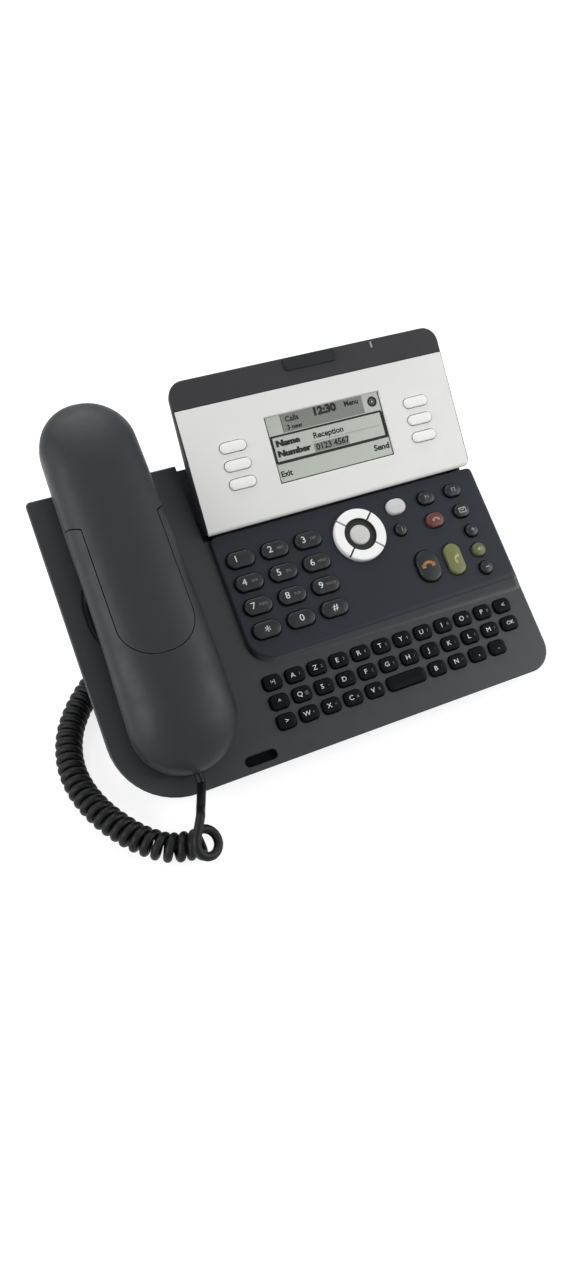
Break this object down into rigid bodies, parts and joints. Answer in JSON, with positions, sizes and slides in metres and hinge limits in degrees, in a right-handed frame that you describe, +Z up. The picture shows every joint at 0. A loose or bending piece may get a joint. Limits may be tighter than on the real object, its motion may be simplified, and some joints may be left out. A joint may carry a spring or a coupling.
{
  "type": "desk ip phone",
  "caption": "Sloping desk IP phone with a corded handset, tilting display, dial, navigator and letter keys, a hook switch and a folding foot.",
  "frame": {"origin": "on the table, under the middle of the phone's box without its cord", "axes": "+X to the right along the phone's width, +Y away from the person who uses it, +Z up"},
  "size_m": [0.2753, 0.1992, 0.1523],
  "materials": {
    "slate_cover": "fine moulded grain",
    "slate_bottom": "fine moulded grain",
    "handset_slate": "satin, fine grain",
    "handset_front": "satin",
    "silver_panel": "silver paint, satin",
    "band_grey": "satin",
    "white_key": "satin",
    "dark_key": "satin",
    "red_key": "satin",
    "green_key": "satin",
    "letter_key": "matte",
    "clear_window": "clear",
    "lcd_grey": "reflective LCD",
    "lamp_lens": "clear lens",
    "pin_steel": "drawn",
    "board_green": "solder mask",
    "dome_rubber": "silicone",
    "black_parts": "matte",
    "hook_grey": "satin",
    "foot_rubber": "matte",
    "cord_black": "satin vinyl",
    "plug_black": "gloss"
  },
  "bodies": {
    "base": {"base_top_cover": "slate_cover", "base_bottom_cover": "slate_bottom", "main_board": "board_green", "dial_dome_mat": "dome_rubber", "hands_free_speaker": "black_parts", "base_microphone": "black_parts", "handset_jack": "black_parts", "network_jack": "black_parts", "hinge_pin": "pin_steel", "front_rubber_strip": "foot_rubber", "curly_cord": "cord_black", "handset_lead": "cord_black", "base_lead": "cord_black", "base_plug": "plug_black"},
    "handset": {"handset_back_cover": "handset_slate", "handset_lower_shell": "handset_slate", "handset_front_shell": "handset_front", "earpiece_speaker": "black_parts", "handset_microphone": "black_parts", "handset_plug": "plug_black"},
    "hook": {"hook_switch": "hook_grey"},
    "display": {"display_front_panel": "silver_panel", "display_back_shell": "band_grey", "lcd_module": "lcd_grey", "lcd_window": "clear_window", "message_lamp": "lamp_lens"},
    "foot": {"foot_stand": "slate_bottom", "foot_pad": "foot_rubber"},
    "dial_key_1_body": {"dial_key_1": "dark_key"},
    "dial_key_2_body": {"dial_key_2": "dark_key"},
    "dial_key_3_body": {"dial_key_3": "dark_key"},
    "dial_key_4_body": {"dial_key_4": "dark_key"},
    "dial_key_5_body": {"dial_key_5": "dark_key"},
    "dial_key_6_body": {"dial_key_6": "dark_key"},
    "dial_key_7_body": {"dial_key_7": "dark_key"},
    "dial_key_8_body": {"dial_key_8": "dark_key"},
    "dial_key_9_body": {"dial_key_9": "dark_key"},
    "dial_key_star_body": {"dial_key_star": "dark_key"},
    "dial_key_0_body": {"dial_key_0": "dark_key"},
    "dial_key_hash_body": {"dial_key_hash": "dark_key"},
    "menu_key_body": {"menu_key": "white_key"},
    "info_key_body": {"info_key": "dark_key"},
    "function_key_1_body": {"function_key_1": "dark_key"},
    "function_key_2_body": {"function_key_2": "dark_key"},
    "release_key_body": {"release_key": "red_key"},
    "message_key_body": {"message_key": "dark_key"},
    "volume_up_key_body": {"volume_up_key": "dark_key"},
    "speaker_key_body": {"speaker_key": "green_key"},
    "volume_down_key_body": {"volume_down_key": "dark_key"},
    "call_key_body": {"call_key": "green_key"},
    "redial_key_body": {"redial_key": "dark_key"},
    "navigator_ring_body": {"navigator_ring": "white_key"},
    "ok_key_body": {"ok_key": "white_key"},
    "letter_key_mat_body": {"letter_key_mat": "letter_key"},
    "soft_key_left_low_body": {"soft_key_left_low": "white_key"},
    "soft_key_left_middle_body": {"soft_key_left_middle": "white_key"},
    "soft_key_left_high_body": {"soft_key_left_high": "white_key"},
    "soft_key_right_low_body": {"soft_key_right_low": "white_key"},
    "soft_key_right_middle_body": {"soft_key_right_middle": "white_key"},
    "soft_key_right_high_body": {"soft_key_right_high": "white_key"}
  },
  "joints": [
    {"name": "handset_lift", "type": "slide", "parent": "base", "child": "handset", "axis": [0, -0.5736, 0.8192], "range_m": [0, 0.04]},
    {"name": "hook_rise", "type": "slide", "parent": "base", "child": "hook", "axis": [0, -0.5736, 0.8192], "range_m": [0, 0.003]},
    {"name": "display_tilt", "type": "hinge", "parent": "base", "child": "display", "pos_m": [-0.00815, 0.02498, 0.08555], "axis": [1, 0, 0], "range_deg": [-12, 20]},
    {"name": "foot_fold", "type": "hinge", "parent": "base", "child": "foot", "pos_m": [-0.00815, 0.06323, 0.0716], "axis": [1, 0, 0], "range_deg": [-62, 0]},
    {"name": "dial_key_1_press", "type": "slide", "parent": "base", "child": "dial_key_1_body", "axis": [0, 0.5736, -0.8192], "range_m": [0, 0.001], "stiffness_N_per_m": 100, "springref_m": -0.002},
    {"name": "dial_key_2_press", "type": "slide", "parent": "base", "child": "dial_key_2_body", "axis": [0, 0.5736, -0.8192], "range_m": [0, 0.001], "stiffness_N_per_m": 100, "springref_m": -0.002},
    {"name": "dial_key_3_press", "type": "slide", "parent": "base", "child": "dial_key_3_body", "axis": [0, 0.5736, -0.8192], "range_m": [0, 0.001], "stiffness_N_per_m": 100, "springref_m": -0.002},
    {"name": "dial_key_4_press", "type": "slide", "parent": "base", "child": "dial_key_4_body", "axis": [0, 0.5736, -0.8192], "range_m": [0, 0.001], "stiffness_N_per_m": 100, "springref_m": -0.002},
    {"name": "dial_key_5_press", "type": "slide", "parent": "base", "child": "dial_key_5_body", "axis": [0, 0.5736, -0.8192], "range_m": [0, 0.001], "stiffness_N_per_m": 100, "springref_m": -0.002},
    {"name": "dial_key_6_press", "type": "slide", "parent": "base", "child": "dial_key_6_body", "axis": [0, 0.5736, -0.8192], "range_m": [0, 0.001], "stiffness_N_per_m": 100, "springref_m": -0.002},
    {"name": "dial_key_7_press", "type": "slide", "parent": "base", "child": "dial_key_7_body", "axis": [0, 0.5736, -0.8192], "range_m": [0, 0.001], "stiffness_N_per_m": 100, "springref_m": -0.002},
    {"name": "dial_key_8_press", "type": "slide", "parent": "base", "child": "dial_key_8_body", "axis": [0, 0.5736, -0.8192], "range_m": [0, 0.001], "stiffness_N_per_m": 100, "springref_m": -0.002},
    {"name": "dial_key_9_press", "type": "slide", "parent": "base", "child": "dial_key_9_body", "axis": [0, 0.5736, -0.8192], "range_m": [0, 0.001], "stiffness_N_per_m": 100, "springref_m": -0.002},
    {"name": "dial_key_star_press", "type": "slide", "parent": "base", "child": "dial_key_star_body", "axis": [0, 0.5736, -0.8192], "range_m": [0, 0.001], "stiffness_N_per_m": 100, "springref_m": -0.002},
    {"name": "dial_key_0_press", "type": "slide", "parent": "base", "child": "dial_key_0_body", "axis": [0, 0.5736, -0.8192], "range_m": [0, 0.001], "stiffness_N_per_m": 100, "springref_m": -0.002},
    {"name": "dial_key_hash_press", "type": "slide", "parent": "base", "child": "dial_key_hash_body", "axis": [0, 0.5736, -0.8192], "range_m": [0, 0.001], "stiffness_N_per_m": 100, "springref_m": -0.002},
    {"name": "menu_key_press", "type": "slide", "parent": "base", "child": "menu_key_body", "axis": [0, 0.5736, -0.8192], "range_m": [0, 0.001], "stiffness_N_per_m": 100, "springref_m": -0.002},
    {"name": "info_key_press", "type": "slide", "parent": "base", "child": "info_key_body", "axis": [0, 0.5736, -0.8192], "range_m": [0, 0.001], "stiffness_N_per_m": 100, "springref_m": -0.002},
    {"name": "function_key_1_press", "type": "slide", "parent": "base", "child": "function_key_1_body", "axis": [0, 0.5736, -0.8192], "range_m": [0, 0.001], "stiffness_N_per_m": 100, "springref_m": -0.002},
    {"name": "function_key_2_press", "type": "slide", "parent": "base", "child": "function_key_2_body", "axis": [0, 0.5736, -0.8192], "range_m": [0, 0.001], "stiffness_N_per_m": 100, "springref_m": -0.002},
    {"name": "release_key_press", "type": "slide", "parent": "base", "child": "release_key_body", "axis": [0, 0.5736, -0.8192], "range_m": [0, 0.001], "stiffness_N_per_m": 100, "springref_m": -0.002},
    {"name": "message_key_press", "type": "slide", "parent": "base", "child": "message_key_body", "axis": [0, 0.5736, -0.8192], "range_m": [0, 0.001], "stiffness_N_per_m": 100, "springref_m": -0.002},
    {"name": "volume_up_key_press", "type": "slide", "parent": "base", "child": "volume_up_key_body", "axis": [0, 0.5736, -0.8192], "range_m": [0, 0.001], "stiffness_N_per_m": 100, "springref_m": -0.002},
    {"name": "speaker_key_press", "type": "slide", "parent": "base", "child": "speaker_key_body", "axis": [0, 0.5736, -0.8192], "range_m": [0, 0.001], "stiffness_N_per_m": 100, "springref_m": -0.002},
    {"name": "volume_down_key_press", "type": "slide", "parent": "base", "child": "volume_down_key_body", "axis": [0, 0.5736, -0.8192], "range_m": [0, 0.001], "stiffness_N_per_m": 100, "springref_m": -0.002},
    {"name": "call_key_press", "type": "slide", "parent": "base", "child": "call_key_body", "axis": [0, 0.5736, -0.8192], "range_m": [0, 0.001], "stiffness_N_per_m": 100, "springref_m": -0.002},
    {"name": "redial_key_press", "type": "slide", "parent": "base", "child": "redial_key_body", "axis": [0, 0.5736, -0.8192], "range_m": [0, 0.001], "stiffness_N_per_m": 100, "springref_m": -0.002},
    {"name": "navigator_ring_press", "type": "slide", "parent": "base", "child": "navigator_ring_body", "axis": [0, 0.5736, -0.8192], "range_m": [0, 0.001], "stiffness_N_per_m": 100, "springref_m": -0.002},
    {"name": "ok_key_press", "type": "slide", "parent": "base", "child": "ok_key_body", "axis": [0, 0.5736, -0.8192], "range_m": [0, 0.001], "stiffness_N_per_m": 100, "springref_m": -0.002},
    {"name": "letter_key_mat_press", "type": "slide", "parent": "base", "child": "letter_key_mat_body", "axis": [0, 0.5736, -0.8192], "range_m": [0, 0.001], "stiffness_N_per_m": 400, "springref_m": -0.002},
    {"name": "soft_key_left_low_press", "type": "slide", "parent": "display", "child": "soft_key_left_low_body", "axis": [0, 0.7837, -0.6211], "range_m": [0, 0.001], "stiffness_N_per_m": 100, "springref_m": -0.002},
    {"name": "soft_key_left_middle_press", "type": "slide", "parent": "display", "child": "soft_key_left_middle_body", "axis": [0, 0.7837, -0.6211], "range_m": [0, 0.001], "stiffness_N_per_m": 100, "springref_m": -0.002},
    {"name": "soft_key_left_high_press", "type": "slide", "parent": "display", "child": "soft_key_left_high_body", "axis": [0, 0.7837, -0.6211], "range_m": [0, 0.001], "stiffness_N_per_m": 100, "springref_m": -0.002},
    {"name": "soft_key_right_low_press", "type": "slide", "parent": "display", "child": "soft_key_right_low_body", "axis": [0, 0.7837, -0.6211], "range_m": [0, 0.001], "stiffness_N_per_m": 100, "springref_m": -0.002},
    {"name": "soft_key_right_middle_press", "type": "slide", "parent": "display", "child": "soft_key_right_middle_body", "axis": [0, 0.7837, -0.6211], "range_m": [0, 0.001], "stiffness_N_per_m": 100, "springref_m": -0.002},
    {"name": "soft_key_right_high_press", "type": "slide", "parent": "display", "child": "soft_key_right_high_body", "axis": [0, 0.7837, -0.6211], "range_m": [0, 0.001], "stiffness_N_per_m": 100, "springref_m": -0.002}
  ],
  "couplings": [
    {"joint": "hook_rise", "follows": "handset_lift", "ratio": 0.075}
  ]
}
